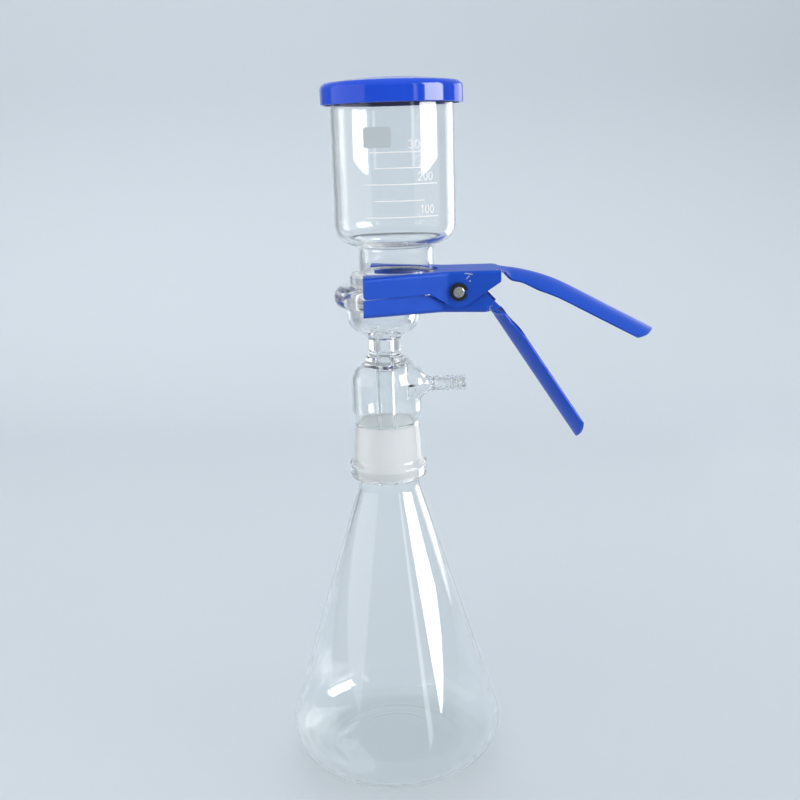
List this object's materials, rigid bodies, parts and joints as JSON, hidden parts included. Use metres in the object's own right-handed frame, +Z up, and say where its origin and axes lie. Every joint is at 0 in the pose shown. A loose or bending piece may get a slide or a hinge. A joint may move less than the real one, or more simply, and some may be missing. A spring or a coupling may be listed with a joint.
{
  "type": "vacuum filtration unit",
  "caption": "Glass vacuum filtration unit: lidded graduated funnel clamped over a sintered disc in a base with a hose arm and drip tube, on a conical flask with a ground joint.",
  "frame": {"origin": "centre of the flask's foot, on the surface it stands on", "axes": "+Z up along the flask's axis; the hose arm and the clamp's handles point to +X; +Y is away from a viewer who has the handles on the right"},
  "size_m": [0.2361, 0.139, 0.4376],
  "materials": {
    "flask_glass": "clear borosilicate glass, ground to a satin on the neck's cone",
    "base_glass": "clear borosilicate glass, ground to a satin inside the socket and on the flange face",
    "sintered_glass": "white sintered glass, rough and matt",
    "funnel_glass": "clear borosilicate glass with white fired graduations",
    "lid_plastic": "blue moulded polypropylene, semi-gloss",
    "clamp_blue_upper": "stamped aluminium sheet, blue anodised, sheared edges bare",
    "clamp_blue_lower": "stamped aluminium sheet, blue anodised, sheared edges bare",
    "pin_steel": "turned steel, dull",
    "clip_black": "spring steel, black oxide",
    "spring_steel": "spring wire, black oxide"
  },
  "bodies": {
    "unit": {"flask": "flask_glass", "filter_base": "base_glass", "frit_disc": "sintered_glass", "funnel": "funnel_glass", "lid": "lid_plastic", "lower_jaw": "clamp_blue_lower", "pivot_pin": "pin_steel", "front_clip": "clip_black", "rear_clip": "clip_black", "torsion_spring": "spring_steel"},
    "upper_jaw": {"upper_jaw": "clamp_blue_upper"}
  },
  "joints": [
    {"name": "clamp_pivot", "type": "hinge", "parent": "unit", "child": "upper_jaw", "pos_m": [0.0455, 0, 0.3125], "axis": [0, 1, 0], "range_deg": [0, 15], "stiffness_Nm_per_rad": 3, "springref_deg": -28.65, "deforming": ["torsion_spring"]}
  ]
}
